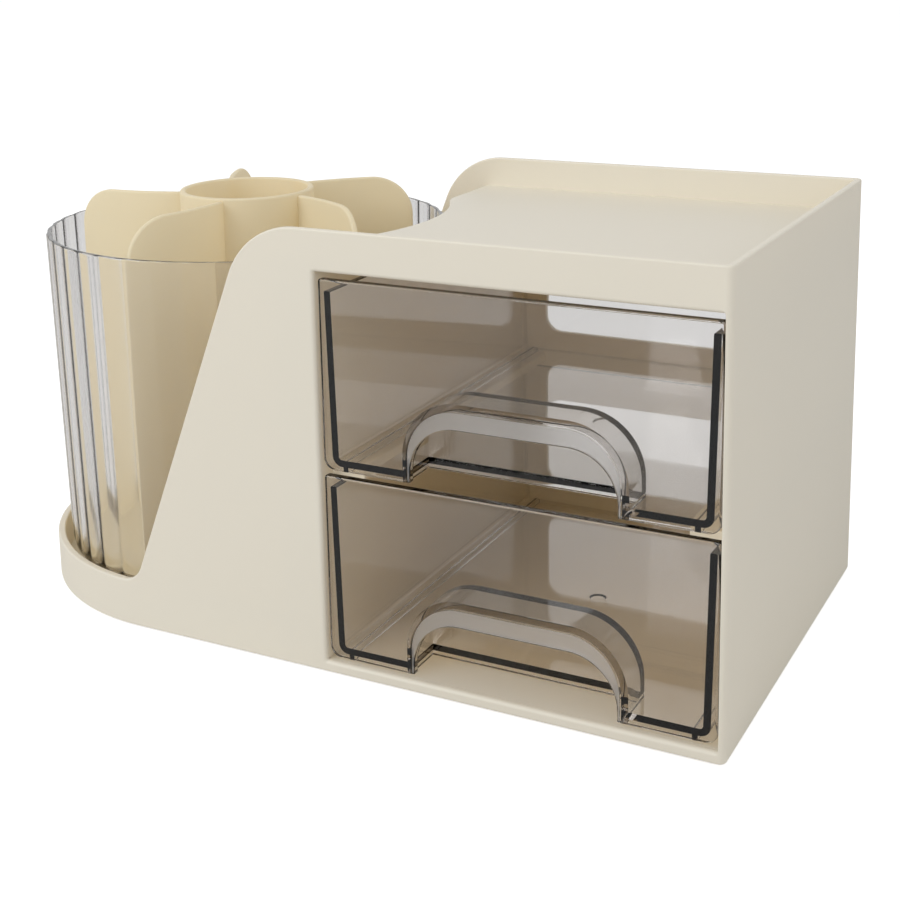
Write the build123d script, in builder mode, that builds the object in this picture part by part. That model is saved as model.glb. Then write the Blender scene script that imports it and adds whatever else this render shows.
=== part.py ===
from build123d import *
import math
import os

# Desk organizer with two drawers and a turning pen cup, in millimetres.
# The origin is the middle of the footprint, on the desk: +X is the drawer side, -Y the front, +Z up.

# Housing
end_radius = 68.0          # rounded end under the cup, and half the depth of the housing
wall = 2.0                 # outer panels
inner_wall = 1.8           # walls inside the housing
pocket_wall = 1.2          # thinnest wall between the cup and the drawers
shelf_thickness = 1.9      # floor of the top tray
lip_height = 10.0          # sides of the top tray
corner_radius = 2.0        # upright corners of the drawer side
edge_radius = 0.6          # softened free edges
rim_wall = 2.4             # low wall round the foot of the cup
rim_height = 11.2          # top of the low wall above the floor
shoulder_width = 22.4      # from the cavity to where the slope would meet the top edge
shoulder_radius = 24.0     # round between the top edge and the slope
slope_foot_radius = 8.0    # round between the slope and the low wall
column_width = 12.2        # the top tray's floor runs this far past the cavity, beside the cup
column_reach = 44.0        # hollow of each corner column, from the panel inwards
deck_reach = 35.0          # hollow under the deck beside each column

# Drawers
drawer_width = 115.4
drawer_height = 55.0
drawer_side_gap = 0.4
drawer_floor_gap = 0.9     # under each front
drawer_between_gap = 1.7   # between the two fronts
drawer_top_gap = 2.2       # above the upper front
front_setback = 1.5        # the fronts stand this far inside the panel
front_thickness = 2.5
front_lower_radius = 3.5
front_upper_radius = 0.8
tub_inset = 1.2            # top of the tub's side in from the edge of the front
tub_draft = 1.15           # foot of the tub's side further in than its top
tub_lift = 1.0             # tub above the lower edge of the front
tub_wall = 2.0
tub_height = 51.4
tub_edge_radius = 3.0
tub_back_gap = 0.5
runner_inset = 6.5
runner_width = 1.6
runner_clearance = 0.1
rail_width = 10.5
rail_thickness = 3.0
rail_setback = 3.0         # rails begin this far behind the fronts
recess_width = 62.0        # finger recess, inside
recess_height = 22.0
recess_radius = 15.0
recess_depth = 13.0

# Windows in the back panel
window_width = 94.0
window_height = 30.0
window_radius = 5.5
window_sill = 9.1          # above the lower edge of each front

# Base plate, screws and feet
base_thickness = 2.1
base_recess = 1.2
base_clearance = 0.15
tongue_width = 12.0
tongue_reach = 1.0
tongue_thickness = 1.2
tongue_spacing = 80.0
tongue_clearance = 0.1
screw_diameter = 3.0
screw_length = 11.0
screw_head = 5.6
screw_clearance = 0.05
boss_height = 14.0
boss_bite = 0.2            # the boss runs this far into the walls beside it
boss_from_panel = 7.5
foot_diameter = 10.0
foot_projection = 0.8      # feet below the housing
foot_inset = 8.0           # middle of a foot in from the panels

# Turntable
ball_diameter = 4.0
ball_count = 18
track_radius = 40.0
track_depth = 0.6
track_clearance = 0.1
cage_width = 8.0
cage_thickness = 1.4
cage_clearance = 0.15
disc_thickness = 2.0
hub_radius = 12.0
hub_wall = 1.6
hub_web = 1.2
hub_play = 0.2             # under the washer
post_diameter = 10.0
post_height = 2.1
post_clearance = 0.1
washer_diameter = 16.0
washer_thickness = 0.6
pivot_diameter = 3.5
pivot_grip = 3.4           # length of the screw inside the post and the plate
pivot_head = 7.0
pivot_head_height = 1.8
pivot_socket = 3.0
pivot_clearance = 0.05

# Cup
cup_gap = 0.8              # rim of the cup to the panels
pocket_clearance = 1.8     # rim of the cup to the wall beside it
cup_height = 107.2
cup_draft = 2.0            # foot of the cup smaller in radius than its rim
cup_wall = 1.6
cup_floor = 2.0
cup_foot_round = 5.0
cup_ring_height = 1.6
cup_ring_wall = 1.8
cup_ring_inset = 2.0       # ring in from where the foot of the cup begins to round
cup_ring_clearance = 0.4   # ring to the turntable disc inside it
flute_count = 42
flute_depth = 0.5

# Divider
tube_radius = 22.0
tube_wall = 2.0
divider_height = 116.2
divider_floor = 1.6
divider_chamfer = 1.0
fin_count = 5
fin_thickness = 1.8
fin_drop = 0.8             # top of the fins under the top of the tube
fin_clearance = 2.8        # fins to the inside of the cup, at its foot
fin_round = 13.0
fin_root_angle = -5.3
fin_tip_angle = -21.3

# Plan
cavity_width = drawer_width + 2 * drawer_side_gap
cup_rim_radius = end_radius - wall - cup_gap
cup_foot_radius = cup_rim_radius - cup_draft
cup_flat_radius = cup_foot_radius - cup_foot_round
disc_radius = cup_flat_radius - cup_ring_inset - cup_ring_wall - cup_ring_clearance
fin_reach = cup_foot_radius - cup_wall - fin_clearance
pocket_radius = cup_rim_radius + pocket_clearance
rim_radius = end_radius - rim_wall
length = end_radius + pocket_radius + pocket_wall + cavity_width + wall
right_x = length / 2
left_x = -length / 2
cup_x = left_x + end_radius
cavity_right = right_x - wall
cavity_left = cavity_right - cavity_width
drawer_x = (cavity_left + cavity_right) / 2
column_left = cavity_left - column_width
front_y = -end_radius
back_y = end_radius
panel_y = end_radius - wall

# Heights
housing_z = foot_projection
plate_z = housing_z + base_recess
floor_z = plate_z + base_thickness
rim_z = floor_z + rim_height
lower_drawer_z = floor_z + drawer_floor_gap
upper_drawer_z = lower_drawer_z + drawer_height + drawer_between_gap
cavity_top = upper_drawer_z + drawer_height + drawer_top_gap
shelf_z = cavity_top + shelf_thickness
top_z = shelf_z + lip_height
rail_z = upper_drawer_z - drawer_floor_gap
ball_z = floor_z + ball_diameter / 2 - track_depth
disc_z = floor_z + ball_diameter - 2 * track_depth
post_z = floor_z + post_height
cup_z = disc_z + disc_thickness
cup_floor_z = cup_z + cup_floor
cup_top_z = cup_z + cup_height
divider_top_z = cup_floor_z + divider_height

# Places that several pieces share
cup_axis = Axis((cup_x, 0, 0), (0, 0, 1))
column_x = (column_left + cavity_left) / 2
boss_y = panel_y - boss_from_panel
boss_diameter = column_width - 2 * inner_wall + 2 * boss_bite
fronts_back_y = front_y + front_setback + front_thickness
low, high, middle = Align.MIN, Align.MAX, Align.CENTER


def stadium(shrink):
    """Draw the plan of the housing, moved inwards by shrink, in the open sketch."""
    radius = end_radius - shrink
    with Locations((cup_x, 0)):
        Circle(radius)
        Rectangle(right_x - shrink - cup_x, 2 * radius, align=(low, middle))


def is_outer_edge(edge):
    """Tell whether a top edge runs along the outside of the panels, not across a panel's end."""
    outside = abs(edge.center().Y) > panel_y or edge.center().X > cavity_right
    return outside and edge.length > wall + edge_radius


os.makedirs("parts", exist_ok=True)

# Housing: one moulding with the panels, the top tray, the cavity and the low wall under the cup
slope_foot_x = cup_x
slope_top_x = cavity_left - shoulder_width

with BuildPart() as housing:
    with BuildSketch(Plane.XY.offset(housing_z)):
        stadium(0)
    extrude(amount=top_z - housing_z)
    fillet(housing.edges().filter_by(Axis.Z).group_by(Axis.X)[-1], radius=corner_radius)
    # Top tray
    with BuildSketch(Plane.XY.offset(shelf_z)):
        stadium(wall)
    extrude(amount=lip_height, mode=Mode.SUBTRACT)
    # Room for the cup above the low wall
    with BuildSketch(Plane.XY.offset(rim_z)):
        with Locations((cup_x, 0)):
            Circle(pocket_radius)
        with Locations((left_x, 0)):
            Rectangle(column_left - left_x, 2 * panel_y, align=(low, middle))
        Rectangle(length, 2 * panel_y, mode=Mode.INTERSECT)
    extrude(amount=shelf_z - rim_z, mode=Mode.SUBTRACT)
    # Everything left of the slope, above the low wall
    with BuildSketch(Plane.XZ):
        with BuildLine():
            slope = FilletPolyline(
                (left_x - wall, rim_z),
                (slope_foot_x, rim_z),
                (slope_top_x, top_z),
                (slope_top_x + shoulder_radius, top_z),
                radius=[slope_foot_radius, shoulder_radius],
            )
            Polyline(
                slope @ 1,
                (slope_top_x + shoulder_radius, top_z + wall),
                (left_x - wall, top_z + wall),
                slope @ 0,
            )
        make_face()
    extrude(amount=end_radius + wall, both=True, mode=Mode.SUBTRACT)
    # Soft outer edge, from the top edge down the slopes
    fillet(housing.edges().group_by(Axis.Z)[-1].filter_by(is_outer_edge), radius=edge_radius)
    # Tray under the cup, down to the base plate
    with BuildSketch(Plane.XY.offset(housing_z)):
        with Locations((cup_x, 0)):
            Circle(rim_radius)
    extrude(amount=rim_z - housing_z, mode=Mode.SUBTRACT)
    # Cavity for the drawers, open to the front
    with BuildSketch(Plane.XY.offset(floor_z)):
        with Locations((drawer_x, panel_y)):
            Rectangle(cavity_width, panel_y - front_y, align=(middle, high))
    extrude(amount=cavity_top - floor_z, mode=Mode.SUBTRACT)
    # Underside, open for the base plate
    with BuildSketch(Plane.XY.offset(housing_z)):
        stadium(wall)
    extrude(amount=floor_z - housing_z, mode=Mode.SUBTRACT)
    # Hollow corner columns, closed at the top by the tray
    with BuildSketch(Plane.XY.offset(floor_z)):
        with Locations((column_x, -panel_y)):
            Rectangle(column_width - 2 * inner_wall, column_reach, align=(middle, low))
        with Locations((column_x, panel_y)):
            Rectangle(column_width - 2 * inner_wall, column_reach, align=(middle, high))
        with Locations((cup_x, 0)):
            Circle(pocket_radius + inner_wall, mode=Mode.SUBTRACT)
    extrude(amount=cavity_top - floor_z, mode=Mode.SUBTRACT)
    # Hollows under the decks between the low wall and the columns
    with BuildSketch(Plane.XY.offset(floor_z)):
        with Locations((column_left, -panel_y)):
            Rectangle(deck_reach, end_radius / 2, align=(high, low))
        with Locations((column_left, panel_y)):
            Rectangle(deck_reach, end_radius / 2, align=(high, high))
        with Locations((cup_x, 0)):
            Circle(rim_radius + inner_wall, mode=Mode.SUBTRACT)
    extrude(amount=rim_height - inner_wall, mode=Mode.SUBTRACT)
    # Rails for the upper drawer
    with BuildSketch(Plane.XY.offset(rail_z)):
        with Locations((cavity_left, panel_y)):
            Rectangle(rail_width, panel_y - fronts_back_y - rail_setback, align=(low, high))
        with Locations((cavity_right, panel_y)):
            Rectangle(rail_width, panel_y - fronts_back_y - rail_setback, align=(high, high))
    extrude(amount=-rail_thickness)
    # Windows in the back panel, one behind each drawer
    for front_z in (lower_drawer_z, upper_drawer_z):
        with BuildSketch(Plane.XZ.offset(-back_y)):
            with Locations((drawer_x, front_z + window_sill + window_height / 2)):
                RectangleRounded(window_width, window_height, window_radius)
        extrude(amount=wall, mode=Mode.SUBTRACT)
    # Screw bosses in the columns
    with BuildSketch(Plane.XY.offset(floor_z)):
        with Locations((column_x, -boss_y), (column_x, boss_y)):
            Circle(boss_diameter / 2)
    extrude(amount=boss_height)
    with BuildSketch(Plane.XY.offset(floor_z)):
        with Locations((column_x, -boss_y), (column_x, boss_y)):
            Circle(screw_diameter / 2 + screw_clearance)
    extrude(amount=screw_length, mode=Mode.SUBTRACT)
    # Blind slots for the tongues of the base plate
    with BuildSketch(Plane.XY.offset(plate_z - tongue_clearance)):
        with Locations((cavity_right, -tongue_spacing / 2), (cavity_right, tongue_spacing / 2)):
            Rectangle(
                tongue_reach + tongue_clearance,
                tongue_width + 2 * tongue_clearance,
                align=(low, middle),
            )
    extrude(amount=tongue_thickness + 2 * tongue_clearance, mode=Mode.SUBTRACT)

housing.part.label = "housing"
export_step(housing.part, "parts/housing.step")

# Base plate: floor of the cavity and of the cup tray, with the turntable's post and ball track
with BuildPart() as base_plate:
    with BuildSketch(Plane.XY.offset(plate_z)):
        stadium(wall + base_clearance)
    extrude(amount=base_thickness)
    with BuildSketch(Plane.XY.offset(plate_z)):
        with Locations((cavity_right, -tongue_spacing / 2), (cavity_right, tongue_spacing / 2)):
            Rectangle(tongue_reach, tongue_width, align=(low, middle))
            Rectangle(base_clearance, tongue_width, align=(high, middle))
    extrude(amount=tongue_thickness)
    with BuildSketch(Plane.XY.offset(floor_z)):
        with Locations((cup_x, 0)):
            Circle(post_diameter / 2)
    extrude(amount=post_height)
    with BuildSketch(Plane.XY.offset(post_z)):
        with Locations((cup_x, 0)):
            Circle(pivot_diameter / 2 + pivot_clearance)
    extrude(amount=-pivot_grip, mode=Mode.SUBTRACT)
    with BuildSketch(Plane.XZ):
        with Locations((cup_x + track_radius, ball_z)):
            Circle(ball_diameter / 2 + track_clearance)
    revolve(axis=cup_axis, mode=Mode.SUBTRACT)
    from_below = (180, 0, 0)
    with Locations(
        Location((column_x, -boss_y, plate_z), from_below),
        Location((column_x, boss_y, plate_z), from_below),
    ):
        CounterSinkHole(
            radius=screw_diameter / 2 + screw_clearance,
            counter_sink_radius=screw_head / 2 + screw_clearance,
            depth=base_thickness,
        )

base_plate.part.label = "base_plate"
export_step(base_plate.part, "parts/base_plate.step")

# Countersunk screws that hold the base plate to the housing
head_depth = (screw_head - screw_diameter) / 2
with BuildPart() as base_screws:
    with Locations((column_x, -boss_y, plate_z), (column_x, boss_y, plate_z)):
        Cone(screw_head / 2, screw_diameter / 2, head_depth, align=(middle, middle, low))
        Cylinder(screw_diameter / 2, screw_length, align=(middle, middle, low))
    with BuildSketch(Plane.XY.offset(plate_z)):
        with Locations((column_x, -boss_y), (column_x, boss_y)):
            Rectangle(screw_diameter, inner_wall / 3)
            Rectangle(inner_wall / 3, screw_diameter)
    extrude(amount=head_depth / 2, mode=Mode.SUBTRACT)

base_screws.part.label = "base_screws"
export_step(base_screws.part, "parts/base_screws.step")

# Feet under the base plate
foot_x = right_x - wall - foot_inset
foot_y = panel_y - foot_inset
foot_arm = (panel_y - foot_inset) * math.sqrt(0.5)
foot_places = {
    "foot_right_front": (foot_x, -foot_y),
    "foot_right_back": (foot_x, foot_y),
    "foot_middle_front": (cavity_left + foot_inset, -foot_y),
    "foot_middle_back": (cavity_left + foot_inset, foot_y),
    "foot_left_front": (cup_x - foot_arm, -foot_arm),
    "foot_left_back": (cup_x - foot_arm, foot_arm),
}
for foot_name, foot_place in foot_places.items():
    with BuildPart() as foot:
        with BuildSketch():
            with Locations(foot_place):
                Circle(foot_diameter / 2)
        extrude(amount=plate_z)
        fillet(foot.edges().group_by(Axis.Z)[0], radius=foot_projection / 2)
    foot.part.label = foot_name
    export_step(foot.part, f"parts/{foot_name}.step")

# Turntable: ball cage, balls, disc, washer and pivot screw
with BuildPart() as ball_cage:
    with BuildSketch(Plane.XY.offset(ball_z - cage_thickness / 2)):
        with Locations((cup_x, 0)):
            Circle(track_radius + cage_width / 2)
            Circle(track_radius - cage_width / 2, mode=Mode.SUBTRACT)
            with PolarLocations(track_radius, ball_count):
                Circle(ball_diameter / 2 + cage_clearance, mode=Mode.SUBTRACT)
    extrude(amount=cage_thickness)

ball_cage.part.label = "ball_cage"
export_step(ball_cage.part, "parts/ball_cage.step")

with BuildPart(Plane((cup_x, 0, ball_z))) as bearing_balls:
    with PolarLocations(track_radius, ball_count):
        Sphere(ball_diameter / 2)

bearing_balls.part.label = "bearing_balls"
export_step(bearing_balls.part, "parts/bearing_balls.step")

web_z = post_z - hub_play - hub_web
with BuildPart() as turntable_disc:
    with BuildSketch(Plane.XZ):
        with BuildLine():
            Polyline(
                (cup_x + post_diameter / 2 + post_clearance, web_z),
                (cup_x + hub_radius + hub_wall, web_z),
                (cup_x + hub_radius + hub_wall, disc_z),
                (cup_x + disc_radius, disc_z),
                (cup_x + disc_radius, cup_z),
                (cup_x + hub_radius, cup_z),
                (cup_x + hub_radius, web_z + hub_web),
                (cup_x + post_diameter / 2 + post_clearance, web_z + hub_web),
                close=True,
            )
        make_face()
        with Locations((cup_x + track_radius, ball_z)):
            Circle(ball_diameter / 2 + track_clearance, mode=Mode.SUBTRACT)
    revolve(axis=cup_axis)

turntable_disc.part.label = "turntable_disc"
export_step(turntable_disc.part, "parts/turntable_disc.step")

with BuildPart() as pivot_washer:
    with BuildSketch(Plane.XY.offset(post_z)):
        with Locations((cup_x, 0)):
            Circle(washer_diameter / 2)
            Circle(pivot_diameter / 2 + pivot_clearance, mode=Mode.SUBTRACT)
    extrude(amount=washer_thickness)

pivot_washer.part.label = "pivot_washer"
export_step(pivot_washer.part, "parts/pivot_washer.step")

pivot_head_z = post_z + washer_thickness
with BuildPart() as pivot_screw:
    with BuildSketch(Plane.XY.offset(pivot_head_z)):
        with Locations((cup_x, 0)):
            Circle(pivot_head / 2)
    extrude(amount=pivot_head_height)
    fillet(pivot_screw.edges().group_by(Axis.Z)[-1], radius=pivot_head_height / 3)
    with BuildSketch(Plane.XY.offset(pivot_head_z)):
        with Locations((cup_x, 0)):
            Circle(pivot_diameter / 2)
    extrude(amount=-(pivot_grip + washer_thickness - pivot_clearance))
    with BuildSketch(Plane.XY.offset(pivot_head_z + pivot_head_height)):
        with Locations((cup_x, 0)):
            RegularPolygon(pivot_socket / 2, 6)
    extrude(amount=-pivot_head_height * 2 / 3, mode=Mode.SUBTRACT)

pivot_screw.part.label = "pivot_screw"
export_step(pivot_screw.part, "parts/pivot_screw.step")


def fluted_outline(crest_radius, height):
    """Sketch the ring of outward flutes at a height, with the flutes' crests at crest_radius."""
    valley_radius = crest_radius - flute_depth
    pitch = 360 / flute_count
    with BuildSketch(Plane((cup_x, 0, height))) as outline:
        with BuildLine():
            for flute in range(flute_count):
                ThreePointArc(
                    Vector(valley_radius, 0).rotate(Axis.Z, (flute - 0.5) * pitch),
                    Vector(crest_radius, 0).rotate(Axis.Z, flute * pitch),
                    Vector(valley_radius, 0).rotate(Axis.Z, (flute + 0.5) * pitch),
                )
        make_face()
    return outline.sketch


# Cup: clear fluted pot with a ring under its floor that centres it on the turntable
foot_outline = fluted_outline(cup_foot_radius, cup_z)
rim_outline = fluted_outline(cup_rim_radius, cup_top_z)
with BuildPart() as cup:
    add(foot_outline)
    add(rim_outline)
    loft(ruled=True)
    # Round foot, and the hollow inside
    with BuildSketch(Plane.XZ):
        with BuildLine():
            foot_line = FilletPolyline(
                (cup_x, cup_z),
                (cup_x + cup_foot_radius + flute_depth, cup_z),
                (cup_x + cup_rim_radius + flute_depth, cup_top_z),
                (cup_x, cup_top_z),
                radius=[cup_foot_round, 2 * flute_depth],
            )
            Line(foot_line @ 1, foot_line @ 0)
        make_face()
    revolve(axis=cup_axis, mode=Mode.INTERSECT)
    with BuildSketch(Plane.XZ):
        with BuildLine():
            inner_line = FilletPolyline(
                (cup_x, cup_floor_z),
                (cup_x + cup_foot_radius - cup_wall, cup_floor_z),
                (cup_x + cup_rim_radius - cup_wall, cup_top_z),
                radius=cup_foot_round - cup_wall,
            )
            Polyline(inner_line @ 1, (cup_x, cup_top_z), inner_line @ 0)
        make_face()
    revolve(axis=cup_axis, mode=Mode.SUBTRACT)
    with BuildSketch(Plane.XY.offset(cup_z)):
        with Locations((cup_x, 0)):
            Circle(disc_radius + cup_ring_clearance + cup_ring_wall)
            Circle(disc_radius + cup_ring_clearance, mode=Mode.SUBTRACT)
    extrude(amount=-cup_ring_height)

cup.part.label = "cup"
export_step(cup.part, "parts/cup.step")

# Divider: tube with five swept fins on a round foot, standing loose in the cup
fin_bend_angle = (fin_root_angle + fin_tip_angle) / 2
fin_root_radius = tube_radius - tube_wall / 2
fin_bend_radius = (fin_root_radius + fin_reach) / 2
with BuildPart() as fins:
    with BuildSketch(Plane((cup_x, 0, cup_floor_z + divider_floor))):
        with BuildLine():
            ThreePointArc(
                Vector(fin_root_radius, 0).rotate(Axis.Z, fin_root_angle),
                Vector(fin_bend_radius, 0).rotate(Axis.Z, fin_bend_angle),
                Vector(fin_reach + fin_thickness, 0).rotate(Axis.Z, fin_tip_angle),
            )
        trace(line_width=fin_thickness)
    extrude(amount=divider_height - divider_floor - fin_drop)
    with BuildSketch(Plane.XZ):
        with BuildLine():
            fin_line = FilletPolyline(
                (cup_x, cup_floor_z),
                (cup_x + fin_reach, cup_floor_z),
                (cup_x + fin_reach, divider_top_z - fin_drop),
                (cup_x, divider_top_z - fin_drop),
                radius=[divider_chamfer, fin_round],
            )
            Line(fin_line @ 1, fin_line @ 0)
        make_face()
    revolve(axis=cup_axis, mode=Mode.INTERSECT)
    long_edges = fins.edges().filter_by(lambda edge: edge.length > fin_round)
    upper_edges = long_edges.filter_by(lambda edge: edge.center().Z > divider_top_z - tube_radius)
    fillet(upper_edges, radius=edge_radius)

with BuildPart() as divider:
    with BuildSketch(Plane.XY.offset(cup_floor_z)):
        with Locations((cup_x, 0)):
            Circle(fin_reach)
    extrude(amount=divider_floor)
    chamfer(divider.edges().group_by(Axis.Z)[0], length=divider_chamfer)
    with BuildSketch(Plane.XZ) as tube_section:
        with Locations((cup_x + tube_radius, cup_floor_z)):
            Rectangle(tube_wall, divider_height, align=(high, low))
        fillet(tube_section.vertices().group_by(Axis.Y)[-1], radius=edge_radius)
    revolve(axis=cup_axis)
    for fin in range(fin_count):
        add(fins.part.rotate(cup_axis, fin * 360 / fin_count))

divider.part.label = "divider"
export_step(divider.part, "parts/divider.step")

# Drawers: two alike, each one smoked moulding of front, tub and finger recess
front_face_y = front_y + front_setback
tub_top = drawer_width / 2 - tub_inset
tub_foot = tub_top - tub_draft
tub_back_y = panel_y - tub_back_gap
tub_length = tub_back_y - fronts_back_y
runner_x = drawer_width / 2 - runner_inset
for drawer_name, drawer_z in (("lower_drawer", lower_drawer_z), ("upper_drawer", upper_drawer_z)):
    front_plane = Plane((drawer_x, front_face_y, drawer_z), x_dir=(1, 0, 0), z_dir=(0, -1, 0))
    tub_plane = Plane((drawer_x, fronts_back_y, drawer_z), x_dir=(1, 0, 0), z_dir=(0, -1, 0))
    with BuildPart() as drawer:
        # Tub, a little wider at its top than at its foot
        for skin, mode in ((0, Mode.ADD), (tub_wall, Mode.SUBTRACT)):
            with BuildSketch(tub_plane) as tub_outline:
                with BuildLine():
                    Polyline(
                        (skin - tub_foot, tub_lift + skin),
                        (tub_foot - skin, tub_lift + skin),
                        (tub_top - skin, tub_height),
                        (skin - tub_top, tub_height),
                        close=True,
                    )
                make_face()
                fillet(tub_outline.vertices().group_by(Axis.Y)[0], radius=tub_edge_radius - skin)
            extrude(amount=-(tub_length - skin), mode=mode)
        # Front
        with BuildSketch(front_plane) as plate_outline:
            Rectangle(drawer_width, drawer_height, align=(middle, low))
            fillet(plate_outline.vertices().group_by(Axis.Y)[0], radius=front_lower_radius)
            fillet(plate_outline.vertices().group_by(Axis.Y)[-1], radius=front_upper_radius)
        extrude(amount=-front_thickness)
        # Finger recess: an arched hood behind the front, open below and in front
        for skin, mode in ((tub_wall, Mode.ADD), (0, Mode.SUBTRACT)):
            with BuildSketch(front_plane) as recess_outline:
                Rectangle(recess_width + 2 * skin, recess_height + skin, align=(middle, low))
                fillet(recess_outline.vertices().group_by(Axis.Y)[-1], radius=recess_radius + skin)
            extrude(amount=-(recess_depth + skin), mode=mode)
        # Runners under the tub
        with BuildSketch(Plane.XY.offset(drawer_z + tub_lift)):
            with Locations((drawer_x - runner_x, fronts_back_y), (drawer_x + runner_x, fronts_back_y)):
                Rectangle(runner_width, tub_length, align=(middle, low))
        extrude(amount=-(tub_lift + drawer_floor_gap - runner_clearance))
    drawer.part.label = drawer_name
    export_step(drawer.part, f"parts/{drawer_name}.step")
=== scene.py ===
"""Looks of the desk organizer: cream housing, fluted cup, swept divider, smoked drawers."""
import logging
import math
from dataclasses import dataclass
from enum import Enum

import bmesh
import bpy
from mathutils import Matrix, Vector


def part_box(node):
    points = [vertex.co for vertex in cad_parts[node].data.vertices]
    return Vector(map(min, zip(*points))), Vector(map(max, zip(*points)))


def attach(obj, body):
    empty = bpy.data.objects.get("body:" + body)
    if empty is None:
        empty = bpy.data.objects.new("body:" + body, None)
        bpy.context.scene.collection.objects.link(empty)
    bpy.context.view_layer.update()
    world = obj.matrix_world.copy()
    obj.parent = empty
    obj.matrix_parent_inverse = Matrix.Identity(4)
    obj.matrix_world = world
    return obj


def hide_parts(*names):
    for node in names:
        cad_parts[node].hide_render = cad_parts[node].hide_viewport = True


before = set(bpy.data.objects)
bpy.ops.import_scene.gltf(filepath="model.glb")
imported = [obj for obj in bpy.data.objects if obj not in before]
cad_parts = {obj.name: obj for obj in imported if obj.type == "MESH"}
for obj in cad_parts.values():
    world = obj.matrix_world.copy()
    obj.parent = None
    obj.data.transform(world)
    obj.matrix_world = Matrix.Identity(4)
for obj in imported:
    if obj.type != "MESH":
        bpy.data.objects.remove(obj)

LOG = logging.getLogger("organizer")
MM = 0.001
WELD_TURNED = 0.001 * MM  # merges points of a turned body
WELD_CUT = 0.005 * MM  # merges points after cuts
LEVEL = 0.02 * MM  # points nearer to a plane lie in it
FLAT = math.radians(0.4)  # faces that turn less are one
SECTOR_START = 0.37  # share of a sector, keeps the dividing cuts off corners
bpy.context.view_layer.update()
Point = tuple[float, float]
Outline = list[Point]
Colour = tuple[float, float, float]
Mesh = bmesh.types.BMesh
Piece = bpy.types.Object
Material = bpy.types.Material
Socket = bpy.types.NodeSocket


class Direction(Enum):
    """The way in which a flat outline is drawn out into a prism."""

    UP = "z"
    BACK = "y"


class Cut(Enum):
    """How one closed mesh changes another."""

    REMOVE = "DIFFERENCE"
    JOIN = "UNION"


# Mesh tools


def arc(
    centre: Point, radius: float, start: float, end: float, steps: int
) -> Outline:
    """Points along a circular arc, both ends included.

    Args:
        centre: middle of the circle.
        radius: its radius.
        start: first angle, in degrees.
        end: last angle, in degrees.
        steps: number of straight steps along the arc.

    Returns:
        The points in order.
    """
    points = []
    for step in range(steps + 1):
        angle = math.radians(start + (end - start) * step / steps)
        points.append((centre[0] + radius * math.cos(angle), centre[1] + radius * math.sin(angle)))
    return points


def rounded(corners: Outline, radii: list[float], steps: int = 8) -> Outline:
    """A closed outline with each corner rounded by its own radius.

    Args:
        corners: the sharp corners in order.
        radii: one radius for each corner, zero where it stays sharp.
        steps: straight steps in each rounded corner.

    Returns:
        The points of the rounded outline.
    """
    points: Outline = []
    for index, corner in enumerate(corners):
        radius = radii[index]
        if radius <= 0:
            points.append(corner)
            continue
        here = Vector(corner)
        before = (Vector(corners[index - 1]) - here).normalized()
        after = (Vector(corners[(index + 1) % len(corners)]) - here).normalized()
        half = before.angle(after) / 2
        centre = here + (before + after).normalized() * radius / math.sin(half)
        first = here + before * radius / math.tan(half) - centre
        last = here + after * radius / math.tan(half) - centre
        sweep = first.angle(last)
        for step in range(steps + 1):
            share = step / steps
            spoke = first * math.sin((1 - share) * sweep) + last * math.sin(share * sweep)
            points.append(tuple(centre + spoke / math.sin(sweep)))
    return points


def rectangle(low: Point, high: Point) -> Outline:
    """The four corners of a rectangle, counter-clockwise."""
    return [low, (high[0], low[1]), high, (low[0], high[1])]


def drawn_out(
    sections: list[tuple[float, Outline]], direction: Direction = Direction.UP
) -> Mesh:
    """A closed body drawn out through several flat outlines with the same number of points.

    Args:
        sections: where each outline lies along the direction, and its points, in order.
        direction: the way it is drawn out.

    Returns:
        The body, with its faces turned outwards.
    """
    mesh = bmesh.new()
    places = []
    for level, outline in sections:
        if direction is Direction.UP:
            places.append([Vector((first, second, level)) for first, second in outline])
        else:
            places.append([Vector((first, level, second)) for first, second in outline])
    face = mesh.faces.new([mesh.verts.new(place) for place in places[0]])
    for index, ring in enumerate(places[1:]):
        grown = bmesh.ops.extrude_face_region(mesh, geom=[face])
        if index:
            bmesh.ops.delete(mesh, geom=[face], context="FACES_ONLY")
        face = next(item for item in grown["geom"] if isinstance(item, bmesh.types.BMFace))
        for vert, place in zip(face.verts, ring):
            vert.co = place
    bmesh.ops.recalc_face_normals(mesh, faces=mesh.faces)
    return mesh


def prism(
    outline: Outline, low: float, high: float, direction: Direction = Direction.UP
) -> Mesh:
    """A closed prism drawn out from a flat outline.

    Args:
        outline: points in (x, y) for UP, or in (x, z) for BACK.
        low: where the prism starts along its direction.
        high: where it ends.
        direction: the way it is drawn out.

    Returns:
        The prism, with its faces turned outwards.
    """
    return drawn_out([(low, outline), (high, outline)], direction)


def turned(profile: Outline, centre_x: float, steps: int) -> Mesh:
    """A closed body turned from a profile about an upright axis.

    Args:
        profile: points in (radius, z), with its first and last points on the axis.
        centre_x: where the axis stands on X.
        steps: number of steps round the axis.

    Returns:
        The turned body.
    """
    mesh = bmesh.new()
    ring = [mesh.verts.new((centre_x + radius, 0, height)) for radius, height in profile]
    edges = [mesh.edges.new(pair) for pair in zip(ring, ring[1:])]
    bmesh.ops.spin(
        mesh,
        geom=ring + edges,
        cent=(centre_x, 0, 0),
        axis=(0, 0, 1),
        angle=math.tau,
        steps=steps,
        use_merge=True,
    )
    bmesh.ops.remove_doubles(mesh, verts=mesh.verts, dist=WELD_TURNED)
    bmesh.ops.recalc_face_normals(mesh, faces=mesh.faces)
    return mesh


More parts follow.
